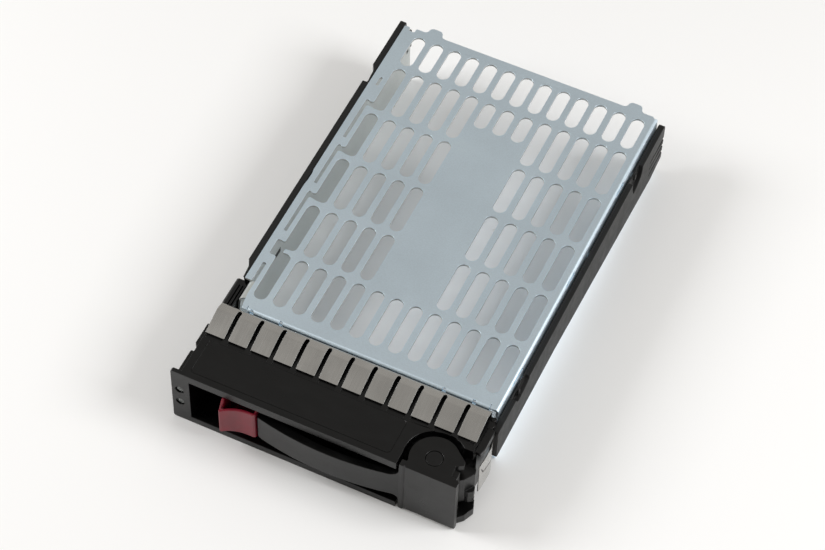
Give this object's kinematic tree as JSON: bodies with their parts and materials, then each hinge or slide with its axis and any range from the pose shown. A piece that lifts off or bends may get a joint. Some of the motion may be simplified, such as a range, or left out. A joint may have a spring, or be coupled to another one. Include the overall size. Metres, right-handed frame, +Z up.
{
  "type": "hot-swap carrier for a 3.5-inch hard disk drive",
  "caption": "Empty hot-swap drive carrier lying open side down: slotted sheet-steel tray, plastic side rails, finger shielding, and a bezel with an ejector lever and a sliding release button.",
  "frame": {"origin": "centre of the footprint, on the surface that the carrier lies on", "axes": "+X to the right seen from the bezel, +Y from the bezel to the rear, +Z up through the slotted tray floor, which is on top because the carrier lies open side down"},
  "size_m": [0.1142, 0.1866, 0.0318],
  "materials": {
    "zinc_sheet": "zinc-plated sheet, bluish light grey, soft satin",
    "spring_steel": "warm grey satin spring strip with bright cut edges",
    "black_plastic": "moulded, fine texture, slightly worn at the edges",
    "lever_plastic": "moulded, fine texture, worn along the handle's top edge",
    "pin_plastic": "black, slightly glossier than the lever",
    "burgundy_plastic": "burgundy, semi-gloss",
    "clear_guide": "clear moulded light guide",
    "steel_hardware": "plain steel wire and screws"
  },
  "bodies": {
    "root": {"tray_pan": "zinc_sheet", "left_wall": "zinc_sheet", "left_rail": "black_plastic", "right_rail": "black_plastic", "bezel_frame": "black_plastic", "emi_top_strip": "spring_steel", "emi_side_spring": "spring_steel", "light_pipe_housing": "black_plastic", "light_pipe_upper": "clear_guide", "light_pipe_lower": "clear_guide", "light_pipe_clip": "black_plastic", "lever_pin": "pin_plastic", "lever_pin_clip": "steel_hardware", "lever_spring": "steel_hardware", "latch_spring": "steel_hardware", "latch_retainer": "black_plastic", "retainer_screw_1": "steel_hardware", "retainer_screw_2": "steel_hardware", "bezel_screw_1": "steel_hardware", "bezel_screw_2": "steel_hardware", "bezel_screw_3": "steel_hardware", "bezel_screw_4": "steel_hardware"},
    "lever": {"ejector_lever": "lever_plastic"},
    "latch": {"latch_button": "burgundy_plastic"}
  },
  "joints": [
    {"name": "lever_swing", "type": "hinge", "parent": "root", "child": "lever", "pos_m": [0.04185, -0.082, 0.0145], "axis": [0, 0, 1], "range_deg": [0, 50], "deforming": ["lever_spring"]},
    {"name": "latch_slide", "type": "slide", "parent": "root", "child": "latch", "axis": [-1, 0, 0], "range_m": [0, 0.004], "stiffness_N_per_m": 300, "deforming": ["latch_spring"]}
  ]
}
